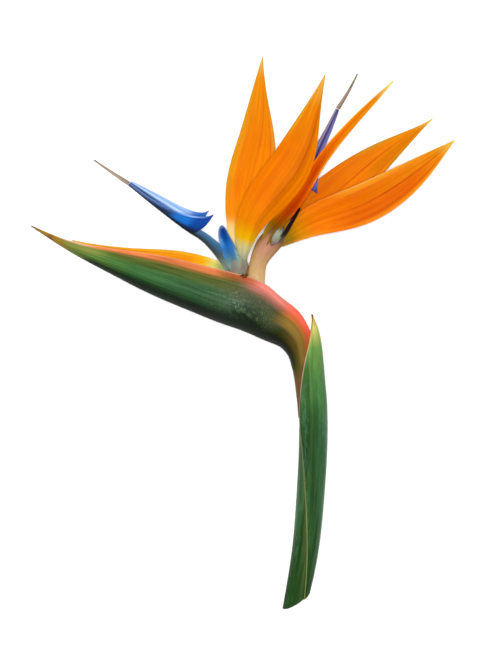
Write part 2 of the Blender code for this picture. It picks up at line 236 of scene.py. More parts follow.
def rodPiece(name, rings, places, node, material):
    # A closed rod from rings of points; the first and last ring shrink to a point.
    rows, sides = rings.shape[:2]
    index = np.arange(rows)[:, None] * sides + np.arange(sides + 1) % sides
    leaf = leafGrid(np.linspace(0.0, 1.0, sides + 1), places)
    piece = placePiece(name, rings.reshape(-1, 3), quads(index).reshape(-1, 4),
                       {"leaf": quads(leaf).reshape(-1, 4, 2)}, node, material)
    closeEnds(piece)
    return piece


def closeEnds(piece):
    # The two shrunken end rings become single points.
    mesh = bmesh.new()
    mesh.from_mesh(piece.data)
    bmesh.ops.remove_doubles(mesh, verts=mesh.verts, dist=2e-6)
    bmesh.ops.dissolve_degenerate(mesh, edges=mesh.edges, dist=1e-7)
    mesh.to_mesh(piece.data)
    mesh.free()


def rodRings(stations, count, sides, square=2.0, groove=0.0, grooves=6, nose=(0.6, 0.6)):
    # Ovals square to a line: half width |cos|^(2/n), half height |sin|^(2/n), with shallow
    # lengthwise grooves, and both ends rounded off over nose millimetres.
    rows = readAlong(stations, np.linspace(0.0, 1.0, count))
    side = leftOf(rows)
    run = np.column_stack([side[:, 1], -side[:, 0], np.zeros(count)])
    dome = np.linspace(0.0, 1.0, domeRows)
    tail = rows[0] - np.r_[run[0] * nose[0], 0, 0] * dome[::-1, None]
    head = rows[-1] + np.r_[run[-1] * nose[1], 0, 0] * dome[:, None]
    shrink = np.r_[np.sqrt(1 - dome[::-1] ** 2), np.ones(count - 2), np.sqrt(1 - dome ** 2)]
    side = np.concatenate([np.repeat(side[:1], domeRows, 0), side[1:-1],
                           np.repeat(side[-1:], domeRows, 0)])
    rows = np.concatenate([tail, rows[1:-1], head])
    turn = np.arange(sides) / sides * 2 * math.pi
    across = np.sign(np.cos(turn)) * np.abs(np.cos(turn)) ** (2 / square)
    up = np.sign(np.sin(turn)) * np.abs(np.sin(turn)) ** (2 / square)
    fluted = shrink[:, None] * (1 - groove * (0.5 + 0.5 * np.cos(grooves * turn)))
    flat = rows[:, None, :2] + side[:, None] * (rows[:, 3, None] * fluted * across)[..., None]
    height = rows[:, 2, None] + rows[:, 4, None] * fluted * up
    places = np.r_[np.zeros(domeRows), np.linspace(0, 1, count)[1:-1], np.ones(domeRows)]
    return np.dstack([flat, height]), rows, places


cut = {"slope": 0.84, "lean": -0.42, "reach": 35.0}


def slantCut(points, rows):
    # Near the cut end each point slides along the stalk by slope x + lean z, fading with the
    # square of the distance, so the stalk ends on one slanted plane.
    lengths = np.r_[0.0, np.cumsum(np.linalg.norm(np.diff(rows[:, :2], axis=0), axis=1))]
    fade = np.clip(1 - lengths / cut["reach"], 0, 1) ** 2
    side = leftOf(rows)
    run = np.column_stack([side[:, 1], -side[:, 0]])
    offset = points - rows[:, None, :3]
    right = -(offset[..., :2] * side[:, None]).sum(-1)
    shift = (cut["slope"] * right + cut["lean"] * offset[..., 2]) * fade[:, None]
    points[..., :2] += shift[..., None] * run[:, None]
    return points


# Sepals and small petals.

def lanceWidth(at, claw, width, widest, taper):
    # claw (1-t)^3, tapered at its foot, + a hair + width (t/m)^a ((1-t)/(1-m))^b, with
    # b = a (1-m)/m so that the greatest width falls at t = m.
    fall = taper * (1 - widest) / widest
    at = np.clip(at, 1e-6, 1 - 1e-6)
    foot = 0.3 + 0.7 * smoothStep(0.0, 0.08, at)
    return (claw * (1 - at) ** 3 * foot + hair
            + width * (at / widest) ** taper * ((1 - at) / (1 - widest)) ** fall)


def foldedSheet(line, left, right, slide, wall, rise=0.0):
    # Each half leaves the line at its own angle, s running from 1 at the margin to 0 at the fold.
    # The second face is the first one moved square to the fold and thinning towards the margins.
    columns = slide.shape[1] // 2
    share = np.linspace(1.0, 0.0, columns + 1)
    side = leftOf(line)
    run = np.column_stack([side[:, 1], -side[:, 0]])
    halves = []
    for (width, angle), sign in ((left, 1.0), (right, -1.0)):
        lean = math.radians(angle)
        halves.append((width[:, None] * share * math.cos(lean),
                       width[:, None] * share * math.sin(lean)))
    across = np.hstack([halves[0][0], halves[1][0][:, -2::-1]])
    up = np.hstack([halves[0][1], halves[1][1][:, -2::-1]])
    spread = np.array([math.cos(math.radians(left[1])) - math.cos(math.radians(right[1])),
                       math.sin(math.radians(left[1])) - math.sin(math.radians(right[1]))]) / 2
    opening = np.linalg.norm(spread)
    square = np.array([-spread[1], spread[0]]) / opening
    across = across + square[0] * rise
    up = up + square[1] * rise
    flat = line[:, None, :2] + side[:, None] * across[..., None] - run[:, None] * slide[..., None]
    upper = np.dstack([flat, line[:, 2, None] + up])
    both = np.r_[share, share[-2::-1]]
    depth = wall / opening * (1 - marginThinning * both ** 3)
    lower = upper.copy()
    lower[..., :2] -= side[:, None] * (square[0] * depth)[..., None]
    lower[..., 2] -= square[1] * depth
    return upper, lower


def growBlade(name, blade, material, slot, rows=150, half=24):
    # A lance-shaped blade with a fold along its midrib, lengthwise pleats and a slightly wavy
    # margin: rise = cup sin(pi s) + pleat cos(2 pi n s) + wave s^2 sin(2 pi k t).
    at = np.linspace(0.0, 1.0, rows)
    line = readAlong(blade["line"], at)
    halves = []
    for key in ("left", "right"):
        width, widest, taper, angle = blade[key]
        seen = lanceWidth(at, blade["claw"], width, widest, taper)
        halves.append((seen / max(abs(math.cos(math.radians(angle))), 0.2), angle))
    share = np.abs(np.linspace(-1.0, 1.0, 2 * half + 1))
    width = np.hstack([np.repeat(halves[0][0][:, None], half, 1),
                       np.repeat(halves[1][0][:, None], half + 1, 1)])
    turned = np.linspace(-1.0, 1.0, 2 * half + 1) > 0
    full = smoothStep(0.03, 0.35, at)[:, None] * (1 - smoothStep(0.75, 1.0, at))[:, None]
    pleat, pleats = blade["pleats"]
    wave, waves = blade["waves"]
    rise = blade["cup"] * width * np.sin(math.pi * share)
    rise = rise + pleat * full * np.cos(2 * math.pi * pleats * share)
    ripple = np.sin(2 * math.pi * (waves * at[:, None] + 0.37 * turned))
    rise = rise + wave * full * share ** 2 * ripple
    slide = np.zeros((rows, 2 * half + 1))
    upper, lower = foldedSheet(line, *halves, slide, blade["wall"], rise)
    lower[..., 2] = np.maximum(lower[..., 2], 0.0)
    leaf = leafGrid(np.linspace(0, 1, 2 * half + 1), at)
    return sheetPiece(name, upper, lower, {"leaf": leaf}, blade["node"], slot, material)


def sepalTissue(name, look):
    # Living sepal, grown rather than made: satin, waxy, with close parallel veins about 0.5 mm
    # apart that give faint streaks and a fine lengthwise ribbing.
    material, tree, shader = startMaterial(name, Specular_IOR_Level=0.02,
                                           Subsurface_Weight=0.12, Subsurface_Scale=0.001)
    shader.inputs["Subsurface Radius"].default_value = (1.0, 0.45, 0.12)
    leaf, place, spot = readPlaces(tree)
    cloud = addNode(tree, "TexNoise", {"Vector": spot, "Scale": 110.0, "Detail": 2.0})[0]
    veins = streakNoise(tree, leaf, look["veins"], 2.2, 3.0, Roughness=0.6)
    folds = streakNoise(tree, leaf, 9.0, 1.6, 2.0)
    waver = addNode(tree, "MapRange", {0: folds, 3: -0.02, 4: 0.02})[0]
    along = addNode(tree, "Math", {0: place[1], 1: waver}, operation="ADD")[0]
    colour = paintTissue(tree, place[0], along, look)
    aside = offMiddle(tree, place[0])
    reach = addNode(tree, "ValToRGB", {0: along}, stops=[
        (0.17, "#000000"), (0.38, "#b0b0b0"), (0.6, "#ffffff"), (0.9, "#e0e0e0"),
        (0.97, "#000000")])[0]
    # The crease colour darkens a thin line down the midrib, fading in and out along it: painted shade
    # in the fold.
    strength, width, shade = look["creaseShade"]
    colour = tint(tree, colour, shade, window(tree, aside, (width, 0.0)), strength, reach)
    # The margin colour is laid on a thin line along both margins: on the lower sepal of floret 2 it is
    # a pale peach painted highlight, on the other sepals the margins' own ochre.
    strength, shade = look["margin"]
    line = addNode(tree, "MapRange", {0: aside, 1: 0.465, 2: 0.497})[0]
    colour = tint(tree, colour, shade, line, strength, reach)
    warm = addNode(tree, "MapRange", {0: folds, 1: 0.25, 2: 0.75, 3: 0.494, 4: 0.506})[0]
    colour = addNode(tree, "HueSaturation", {0: warm, 4: colour})[0]
    colour = varyLight(tree, colour, (veins, 0.25, 0.75, 0.84, 1.09),
                       (cloud, 0.2, 0.8, 0.96, 1.04), (folds, 0.3, 0.7, 0.91, 1.1))
    grain = addNode(tree, "TexNoise", {"Vector": spot, "Scale": 2600.0, "Detail": 2.0})[0]
    finishSkin(tree, shader, colour, grain, (0.42, 0.56), (0.4, 0.0003, folds),
               (0.5, 0.0003, veins), (0.25, 0.00006, grain))
    return material


sepalLeft1 = {
    "node": "floret_1_sepal_left",
    "line": [(-1.4, 35.6, 9.0), (3.3, 78.0, 7.0), (10.8, 110.7, 5.5), (11.2, 152.6, 4.0)],
    "claw": 1.8, "left": (12.6, 0.49, 1.05, 8), "right": (12.3, 0.38, 1.70, 170),
    "wall": 0.9, "cup": 0.05, "pleats": (0.07, 2.0), "waves": (0.35, 1.6),
    "veins": 90.0, "creaseShade": (0.55, 0.035, "#b85400"), "margin": (0.3, "#985c08"),
    "ground": [
        (0.06, "#909484"), (0.11, "#b4b090"), (0.155, "#d0a418"), (0.23, "#d88004"), (0.35, "#d47200"),
        (0.6, "#cc6c00"), (0.9, "#cc7a08"), (0.99, "#c8a044")],
    "washes": [
        ("#dccc94", 0.6, (0.4, 0.1), (0.1, 0.14, 0.17, 0.25)),
        ("#bc8410", 0.8, (0.22, 0), (0.22, 0.42, 0.9, 0.99)),
        ("#bc8420", 0.8, (0.8, 1), (0.5, 0.62, 0.92, 0.99))]}
sepalRight1 = {
    "node": "floret_1_sepal_right",
    "line": [(-0.2, 35.2, 11.2), (6.6, 58.5, 22.3), (32.2, 92.7, 25.5), (45.3, 141.7, 22.0)],
    "claw": 1.3, "left": (15.8, 0.51, 1.27, -14), "right": (7.0, 0.45, 2.50, 222),
    "wall": 0.9, "cup": 0.05, "pleats": (0.06, 1.5), "waves": (0.2, 1.3),
    "veins": 80.0, "creaseShade": (0.7, 0.03, "#a84400"), "margin": (0.22, "#a05808"),
    "ground": [
        (0.06, "#9c9c80"), (0.11, "#b8b078"), (0.15, "#d0a004"), (0.23, "#cc7200"), (0.35, "#cc6600"),
        (0.6, "#c86400"), (0.85, "#c87000"), (0.99, "#c89a38")],
    "washes": [
        ("#e87e00", 0.9, (0.6, 0.95), (0.2, 0.25, 0.7, 0.85)),
        ("#b85a00", 0.8, (0.3, 0.5, 0.52, 0.68), (0.3, 0.42, 0.8, 0.9)),
        ("#d8ae20", 0.9, (0.85, 1), (0.68, 0.8, 0.95, 1.1)),
        ("#be8c20", 0.8, (0.15, 0), (0.65, 0.8, 0.9, 1))]}
sepalLow1 = {
    "node": "floret_1_sepal_low",
    "line": [(-5.5, 32.6, 10.2), (-32.0, 38.5, 10.2), (-62.0, 43.4, 10.2), (-93.6, 51.4, 10.2)],
    "claw": 1.8, "left": (2.6, 0.30, 0.70, 0), "right": (5.6, 0.32, 0.75, 180),
    "wall": 0.8, "cup": 0.0, "pleats": (0.05, 1.0), "waves": (0.1, 2.2),
    "veins": 26.0, "creaseShade": (0.0, 0.03, "#b85400"), "margin": (0.4, "#a47010"),
    "ground": [
        (0.08, "#909654"), (0.13, "#c4b85c"), (0.185, "#d89c08"), (0.27, "#d67c02"), (0.7, "#d07a04"),
        (0.97, "#d09c34")],
    "washes": [
        ("#cc6e06", 0.8, (0.3, 0), (0.2, 0.3, 0.8, 0.95)),
        ("#c4951a", 0.8, (0.75, 1), (0.2, 0.3, 0.95, 1.1))]}
sepalNarrow2 = {
    "node": "floret_2_sepal_narrow",
    "line": [(11.2, 48.2, 11.4), (16.1, 56.5, 12.0), (28.2, 70.8, 12.6),
             (44.4, 96.8, 13.9), (83.0, 138.9, 17.0)],
    "claw": 3.4, "left": (2.0, 0.45, 0.90, 48), "right": (2.6, 0.55, 1.00, 118),
    "wall": 0.75, "cup": 0.05, "pleats": (0.0, 1.0), "waves": (0.15, 1.2),
    "veins": 22.0, "creaseShade": (0.3, 0.05, "#a43400"), "margin": (0.5, "#a46c20"),
    # The deep red-brown lower part of this sepal, in the ground up to about a quarter of its length
    # and in the brown wash on its right half near the foot, is painted shade.
    "ground": [
        (0.06, "#9a7a20"), (0.11, "#885c04"), (0.16, "#ae5200"), (0.23, "#ba4400"), (0.33, "#d05600"),
        (0.47, "#c85400"), (0.6, "#d87600"), (0.88, "#d88c10"), (0.975, "#e2d484")],
    "washes": [
        ("#7c5008", 0.8, (0.5, 1), (0.24, 0.16)),
        ("#e88808", 0.9, (0.25, 0), (0.1, 0.2, 0.55, 0.7)),
        ("#e4b430", 0.8, (0.3, 0), (0.55, 0.65, 0.9, 1)),
        ("#e8a01c", 0.8, (0.8, 1), (0.3, 0.45, 0.6, 0.7))]}
sepalUpper2 = {
    "node": "floret_2_sepal_upper",
    "line": [(13.6, 47.2, 9.0), (52.5, 78.7, 3.8), (81.8, 102.9, 2.2), (105.1, 118.6, 1.0)],
    "claw": 2.2, "left": (10.9, 0.42, 1.31, 7), "right": (9.8, 0.50, 1.32, 168),
    "wall": 0.85, "cup": 0.05, "pleats": (0.08, 2.0), "waves": (0.25, 1.4),
    "veins": 80.0, "creaseShade": (0.75, 0.03, "#a04800"), "margin": (0.55, "#705410"),
    "ground": [
        (0.08, "#88784c"), (0.13, "#a07e20"), (0.23, "#c46a06"), (0.35, "#ca6400"), (0.65, "#cc6c04"),
        (0.9, "#cc7a04"), (0.99, "#c8a64a")],
    "washes": [
        ("#b0841c", 0.85, (0.22, 0), (0.55, 0.7, 0.92, 1)),
        ("#b86600", 0.8, (0.5, 0.65, 0.8, 0.95), (0.55, 0.65, 0.9, 1)),
        ("#a07408", 0.85, (0.85, 1), (0.6, 0.75, 0.95, 1.02))]}
sepalLower2 = {
    "node": "floret_2_sepal_lower",
    "line": [(15.0, 46.6, 11.2), (35.5, 59.2, 14.5), (68.3, 71.8, 16.0), (116.8, 106.3, 10.0)],
    "claw": 1.8, "left": (10.6, 0.47, 0.97, 14), "right": (10.2, 0.52, 1.32, 172),
    "wall": 0.9, "cup": 0.05, "pleats": (0.10, 2.0), "waves": (0.3, 1.5),
    # Its pale peach margin colour is a painted highlight along the margins.
    "veins": 84.0, "creaseShade": (0.8, 0.04, "#a83800"), "margin": (0.6, "#d09c68"),
    "ground": [
        (0.06, "#88682c"), (0.11, "#906a08"), (0.16, "#c07802"), (0.23, "#d06a02"), (0.35, "#d06400"),
        (0.5, "#c86000"), (0.7, "#cc6c06"), (0.9, "#cc7808"), (0.99, "#d0aa44")],
    "washes": [
        ("#d08c20", 0.85, (0.2, 0), (0.3, 0.45, 0.95, 1)),
        ("#be5000", 0.85, (0.45, 0.6, 0.8, 0.98), (0.28, 0.45, 0.7, 0.95)),
        ("#cc7c0c", 0.8, (0.85, 1), (0.35, 0.5, 0.9, 1)),
        ("#bc7c24", 0.6, (0.85, 1), (0.1, 0.16, 0.25, 0.33))]}
for name, sepal in (("left_sepal_1", sepalLeft1), ("right_sepal_1", sepalRight1),
                    ("low_sepal_1", sepalLow1), ("narrow_sepal_2", sepalNarrow2),
                    ("upper_sepal_2", sepalUpper2), ("lower_sepal_2", sepalLower2)):
    growBlade(name, sepal, sepalTissue("livingSepal_" + name, sepal), "sepal_orange")
print("sepals grown")


def petalTissue(name, look):
    # Blue nectar petal, grown: a velvety skin of tiny domed cells about 0.1 mm wide, drawn coarser
    # here so that it shows, which gives a soft sheen over saturated blue.
    material, tree, shader = startMaterial(name, Specular_IOR_Level=0.16)
    leaf, place, spot = readPlaces(tree)
    veins = streakNoise(tree, leaf, look["veins"], 3.0, 3.0)
    colour = paintTissue(tree, place[0], place[1], look)
    colour = varyLight(tree, colour, (veins, 0.25, 0.75, 0.7, 1.24))
    # The edge colour lays a lighter line along both margins, strongest just past start along the
    # piece: a painted highlight on the rims.
    start, strength, shade = look["edge"]
    edge = addNode(tree, "MapRange", {0: offMiddle(tree, place[0]), 1: 0.465, 2: 0.495})[0]
    reach = addNode(tree, "ValToRGB", {0: place[1]}, stops=[
        (start, "#000000"), (start + 0.08, "#ffffff"), (start + 0.22, "#505050"),
        (0.98, "#404040")])[0]
    colour = tint(tree, colour, shade, edge, reach, strength)
    cells = addNode(tree, "TexVoronoi", {"Vector": spot, "Scale": 3600.0})[0]
    finishSkin(tree, shader, colour, cells, (0.34, 0.52), (0.5, 0.00025, veins),
               (0.2, 0.00008, cells))
    return material


smallPetal1 = {
    "node": "floret_1_small_petal",
    "line": [(-4.0, 35.2, 11.6), (-7.4, 46.5, 14.2), (-10.0, 53.5, 15.0), (-11.3, 59.6, 15.6)],
    "claw": 1.2, "left": (3.3, 0.50, 0.50, 35), "right": (3.2, 0.45, 0.50, 145),
    "wall": 0.6, "cup": 0.08, "pleats": (0.0, 1.0), "waves": (0.08, 1.5),
    "veins": 16.0, "edge": (0.3, 0.35, "#90a0b8"),
    "ground": [
        (0.12, "#748a80"), (0.2, "#587c80"), (0.34, "#386c98"), (0.55, "#1c5ea4"), (0.7, "#084888"),
        (0.85, "#083884"), (0.92, "#1c3c7c"), (0.975, "#6480a4")],
    "washes": [
        ("#3878b4", 0.7, (0.45, 0.2), (0.5, 0.58, 0.68, 0.78)),
        ("#7090b8", 0.7, (0.35, 0), (0.55, 0.7)),
        ("#486c94", 0.9, (0.8, 1), (0.4, 0.5, 0.9, 1.1)),
        ("#84a49c", 0.8, (0.75, 1), (0.1, 0.2, 0.34, 0.5))]}
smallPetal2 = {
    "node": "floret_2_small_petal",
    "line": [(18.6, 50.2, 13.4), (22.4, 53.6, 17.4), (26.8, 60.6, 18.8), (31.6, 69.0, 19.4)],
    "claw": 0.4, "left": (0.75, 0.50, 0.40, 62), "right": (0.7, 0.50, 0.40, 118),
    "wall": 0.65, "cup": 0.0, "pleats": (0.0, 1.0), "waves": (0.0, 1.0),
    "veins": 8.0, "edge": (0.2, 0.3, "#704030"),
    "ground": [
        (0.03, "#886e54"), (0.15, "#646050"), (0.3, "#342e24"), (0.5, "#241a24"), (0.75, "#261014"),
        (0.97, "#30100c")],
    "washes": [("#44241c", 0.8, (0.4, 0), (0.4, 0.6))]}
for name, petal in (("small_petal_1", smallPetal1), ("small_petal_2", smallPetal2)):
    growBlade(name, petal, petalTissue("blueNectarPetal_" + name, petal), "petal_blue", 70, 12)
print("small petals grown")


# Arrow petals.

def growArrow(name, arrow, material, rows=150, half=22):
    # A folded shaft whose head widens to tip + broad r^power + flare r^9 + hook r^36, with r
    # falling from 1 at the barbs to 0 at the point. Each margin slides back at the barbs by
    # barb r^8 (1 - (1-s)^2.6).
    headRows = rows * 2 // 3
    shaft = np.linspace(0.0, arrow["shaft"], rows - headRows)
    ease = np.linspace(0.0, 1.0, headRows) ** 1.5
    at = np.r_[shaft, np.minimum(arrow["shaft"] + (1 - arrow["shaft"]) * ease + 1e-3, 1.0)]
    line = readAlong(arrow["line"], at)
    reach = np.r_[np.zeros(rows - headRows), 1 - ease]
    isHead = np.r_[np.zeros(rows - headRows), np.ones(headRows)]
    share = np.linspace(1.0, 0.0, half + 1)
    halves, slides = [], []
    for key in ("near", "far"):
        stalk, tip, broad, power, flare, hook, barb, angle = arrow[key]
        width = tip + broad * reach ** power + flare * reach ** 9 + hook * reach ** 36
        foot = 1 + 1.7 * np.clip(1 - at / arrow["shaft"], 0, 1) ** 1.5
        width = np.where(isHead > 0, width, stalk * foot)
        halves.append((width, angle))
        slides.append(barb * (reach ** 8)[:, None] * (1 - (1 - share) ** 2.6))
    slide = np.hstack([slides[0], slides[1][:, -2::-1]])
    upper, lower = foldedSheet(line, *halves, slide, arrow["wall"])
    leaf = leafGrid(np.linspace(0, 1, 2 * half + 1), at)
    return sheetPiece(name, upper, lower, {"leaf": leaf}, arrow["node"], "petal_blue", material)


arrow1 = {
    "node": "floret_1_arrow_petals",
    "line": [(-6.6, 33.2, 10.4), (-14.9, 45.6, 10.4), (-22.1, 53.0, 10.4), (-27.9, 56.7, 10.4),
             (-45.2, 69.6, 10.4), (-61.8, 83.0, 10.4)],
    # shaft width, tip width, head width, power, flare, hook, barb length, angle
    "shaft": 0.416, "near": (2.9, 0.3, 9.0, 2.3, 5.0, 1.6, 5.0, 155),
    "far": (3.0, 1.2, 9.0, 0.8, 3.9, 1.9, 1.5, 196),
    "wall": 0.6, "veins": 18.0, "edge": (0.42, 0.7, "#90b0e4"),
    "ground": [
        (0.09, "#4c5650"), (0.2, "#2e3c40"), (0.33, "#263034"), (0.41, "#1c2426"), (0.43, "#0b1720"),
        (0.98, "#0c151a")],
    "washes": [
        ("#306088", 0.9, (0.34, 0), (0.06, 0.2, 0.412, 0.424)),   # shaft
        ("#285074", 0.9, (0.6, 0.85), (0.06, 0.25, 0.412, 0.424)),
        ("#6488a4", 0.8, (0.86, 1), (0.424, 0.412)),
        ("#808c80", 0.6, (), (0.16, 0.05)),
        ("#023a8c", 1.0, (0.46, 0.22), (0.412, 0.424, 0.52, 0.6)),   # near wing
        ("#0e64b8", 0.9, (0.42, 0.22), (0.46, 0.52, 0.58, 0.68)),
        ("#0c2044", 0.9, (0.42, 0.2), (0.58, 0.66)),
        ("#3c5c90", 0.9, (0.17, 0), (0.58, 0.66)),
        ("#3c62a0", 1.0, (0.58, 0.7), (0.412, 0.43)),   # far wing
        # Pale and light blue across the far wing of the head: painted highlight on its upper surface.
        ("#a0b8e0", 1.0, (0.68, 0.8), (0.46, 0.6)),
        ("#6c94c4", 0.9, (0.8, 0.9, 0.9, 1.0), (0.46, 0.6)),
        ("#0e529e", 0.9, (0.58, 0.7, 0.95, 1.1), (0.412, 0.424, 0.45, 0.53))]}
arrow2 = {
    "node": "floret_2_arrow_petals",
    "line": [(13.4, 48.6, 10.0), (24.2, 62.1, 9.6), (36.2, 82.0, 9.9), (41.6, 100.0, 11.2),
             (48.3, 114.3, 12.0), (52.3, 123.4, 12.4)],
    "shaft": 0.478, "near": (1.4, 1.2, 3.2, 0.8, 2.8, 0.6, 2.6, 210),
    "far": (1.8, 1.2, 2.6, 0.8, 2.0, 0.8, 4.6, -30),
    "wall": 0.6, "veins": 12.0, "edge": (0.5, 0.3, "#a0a0c8"),
    "ground": [
        (0.07, "#483420"), (0.32, "#40241c"), (0.47, "#2c2440"), (0.55, "#342c54"), (0.66, "#2c2458"),
        (0.98, "#302c50")],
    "washes": [
        ("#6c4428", 0.8, (0.4, 0), (0.47, 0.4)),   # shaft
        ("#5c4030", 0.8, (0.7, 1), (0.47, 0.4)),
        ("#6468ac", 0.95, (0.5, 0.25), (0.46, 0.52, 0.9, 1.05)),   # near wing
        ("#7c82bc", 0.6, (0.2, 0), (0.5, 0.6, 0.9, 1.05)),
        ("#201c34", 0.9, (0.6, 0.8), (0.47, 0.5, 0.54, 0.62)),   # far wing
        ("#86809c", 0.95, (0.5, 0.75), (0.56, 0.7))]}
for name, arrow in (("arrow_petals_1", arrow1), ("arrow_petals_2", arrow2)):
    growArrow(name, arrow, petalTissue("blueArrowPetal_" + name, arrow))
print("arrow petals grown")


# Styles and ovaries.

def fleshTissue(name, look):
    # Fleshy plant tissue under a thin matt skin, streaked lengthwise by its bundles of vessels.
    material, tree, shader = startMaterial(name, Specular_IOR_Level=0.12,
                                           Subsurface_Weight=0.1, Subsurface_Scale=0.001)
    leaf, place, spot = readPlaces(tree)
    streaks = streakNoise(tree, leaf, look["streaks"], look["reach"], 4.0)
    # Places across run round from the underside: 0.25 is the left, 0.5 the top, 0.75 the right.
    turned = addNode(tree, "Math", {0: place[0], 1: 0.25}, operation="ADD")[0]
    turned = addNode(tree, "Math", {0: turned}, operation="FRACT")[0]
    colour = paintTissue(tree, turned, place[1], look)
    stain = addNode(tree, "MapRange", {0: streaks, 1: 0.45, 2: 0.8})[0]
    colour = tint(tree, colour, look["vessel"], stain, look["stain"])
    cloud = addNode(tree, "TexNoise", {"Vector": spot, "Scale": 420.0, "Detail": 3.0})[0]
    colour = varyLight(tree, colour, (cloud, 0.25, 0.75, 0.92, 1.06))
    finishSkin(tree, shader, colour, cloud, (0.5, 0.5), (0.45, 0.0003, streaks),
               (0.2, 0.0001, cloud))
    return material


style1 = {
    "node": "floret_1_style", "streaks": 5.0, "reach": 1.2, "stain": 1.0, "vessel": "#4c3424",
    "line": [(-62.6, 82.7, 10.4, 1.3, 0.9), (-72.4, 89.2, 10.8, 0.8, 0.7),
             (-81.6, 95.6, 11.0, 0.35, 0.35)],
    "ground": [(0.0, "#8e8270"), (0.5, "#9c8a76"), (0.85, "#8a7660"), (1.0, "#584332")]}
style2 = {
    "node": "floret_2_style", "streaks": 5.0, "reach": 1.2, "stain": 1.0, "vessel": "#38241a",
    "line": [(52.6, 124.0, 12.2, 1.3, 0.9), (58.5, 133.5, 12.9, 0.8, 0.7),
             (63.3, 142.8, 13.0, 0.35, 0.35)],
    "ground": [(0.0, "#8e7e6e"), (0.5, "#847462"), (0.85, "#705f50"), (1.0, "#38281e")]}
for name, style in (("style_1", style1), ("style_2", style2)):
    rings, _, places = rodRings(style["line"], 60, 24, 2.0, 0.12, 5, (0.3, 0.2))
    rodPiece(name, rings, places, style["node"],
             fleshTissue("dryingStyle_" + name, style))

ovary1 = {
    "node": "floret_1_ovary", "streaks": 9.0, "reach": 2.0, "stain": 0.25, "vessel": "#a7a392",
    "line": [(-2.6, 22.2, 10.4, 1.4, 1.4), (-2.7, 27.0, 10.5, 4.2, 3.0),
             (-2.3, 33.0, 10.5, 5.8, 3.8), (-1.7, 38.6, 10.6, 5.0, 4.2),
             (-0.6, 44.5, 10.8, 3.0, 3.6)],
    "ground": [
        (0.0, "#78684e"), (0.45, "#706852"), (0.62, "#6c665c"), (0.85, "#747860"), (1.0, "#7e7e68")],
    "washes": [
        ("#917654", 0.8, (0.6, 0.7, 0.8, 0.95), ()),
        ("#667078", 0.75, (0.05, 0.2, 0.35, 0.47), (0.5, 0.75))]}
ovary2 = {
    "node": "floret_2_ovary", "streaks": 14.0, "reach": 2.2, "stain": 0.3, "vessel": "#8c6040",
    "line": [(10.6, 17.2, 10.4, 1.3, 1.3), (8.9, 22.2, 10.5, 3.6, 2.8),
             (7.8, 31.0, 10.5, 4.9, 3.4), (9.0, 39.5, 10.5, 5.0, 3.8),
             (13.6, 48.2, 10.2, 6.5, 4.0), (18.6, 53.8, 10.4, 6.4, 3.8)],
    "ground": [
        (0.0, "#b8a886"), (0.3, "#b89868"), (0.55, "#a88458"), (0.78, "#9c7450"), (0.9, "#8c6444"),
        (1.0, "#6c4a30")],
    "washes": [
        # Darker brown round the underside, from both ends of the turn: painted shade.
        ("#74583a", 0.8, (0.2, 0.05), ()),
        ("#74583a", 0.8, (0.8, 0.95), ()),
        ("#9c7a40", 0.7, (0.05, 0.2, 0.3, 0.45), (0.2, 0.45, 0.7, 0.85)),
        ("#644410", 0.9, (0.05, 0.15, 0.3, 0.45), (0.62, 0.85)),
        ("#6c5024", 0.8, (0.6, 0.75, 0.85, 0.95), (0.5, 0.78)),
        ("#a8705c", 0.55, (0.38, 0.46, 0.54, 0.66), (0.6, 0.74, 0.86, 0.98))]}
for name, ovary in (("ovary_1", ovary1), ("ovary_2", ovary2)):
    rings, _, places = rodRings(ovary["line"], 90, 64, 2.6, 0.05, 6, (0.5, 3.2))
    rodPiece(name, rings, places, ovary["node"],
             fleshTissue("fleshyOvary_" + name, ovary))
petalFoot2 = {
    "node": "floret_2_arrow_petals", "streaks": 7.0, "reach": 1.6, "stain": 0.3,
    "vessel": "#c0c0a0",
    "line": [(16.0, 48.8, 14.0, 0.8, 1.4), (17.6, 51.2, 15.6, 2.2, 2.4),
             (19.9, 54.9, 16.4, 2.4, 2.6), (22.2, 58.6, 16.4, 0.9, 1.4)],
    "ground": [(0.0, "#784c50"), (0.3, "#808070"), (0.7, "#808c78"), (1.0, "#384448")],
    "washes": [
        ("#201c28", 0.95, (0.4, 0.28), (-0.1, 0.25)),
        ("#28201c", 0.95, (0.72, 0.85), ())]}
rings, _, places = rodRings(petalFoot2["line"], 50, 40, 2.2, 0.04, 3, (0.5, 0.8))
rodPiece("petal_foot_2", rings, places, petalFoot2["node"],
         fleshTissue("greenPetalFoot", petalFoot2))
print("styles and ovaries grown")


# Stalk.

stalk = {
    "node": "stem", "streaks": 26.0, "reach": 6.0, "stain": 0.35, "vessel": "#303719",
    "line": [(29.3, -147.0, 6.4, 4.3, 4.3), (34.4, -118.9, 7.4, 5.0, 5.0),
             (37.4, -85.9, 8.6, 5.6, 5.6), (38.5, -63.9, 9.6, 5.7, 5.7),
             (38.1, -56.0, 10.0, 5.0, 5.0), (36.4, -48.5, 10.2, 2.7, 2.7),
             (35.6, -43.0, 10.2, 2.4, 2.4), (34.0, -30.0, 10.2, 2.3, 2.3),
             (32.7, -18.2, 10.2, 2.5, 2.5), (31.4, -9.0, 10.2, 2.9, 2.9),
             (28.6, -1.5, 10.2, 3.2, 3.2), (22.5, 4.5, 10.2, 3.4, 3.4),
             (12.0, 11.0, 10.2, 3.5, 3.5), (2.9, 16.1, 10.2, 3.5, 3.5),
             (-6.0, 18.6, 10.2, 3.2, 3.2)],
    "ground": [(0.0, "#8c8864"), (0.02, "#424f26"), (0.5, "#524227"), (1.0, "#786c46")]}
rings, rows, places = rodRings(stalk["line"], 260, 48, 2.0, 0.02, 12, (0.15, 0.8))
rodPiece("stalk_rod", slantCut(rings, rows), places, stalk["node"],
         fleshTissue("cutStalk", stalk))


# Rolled bract round the stalk.

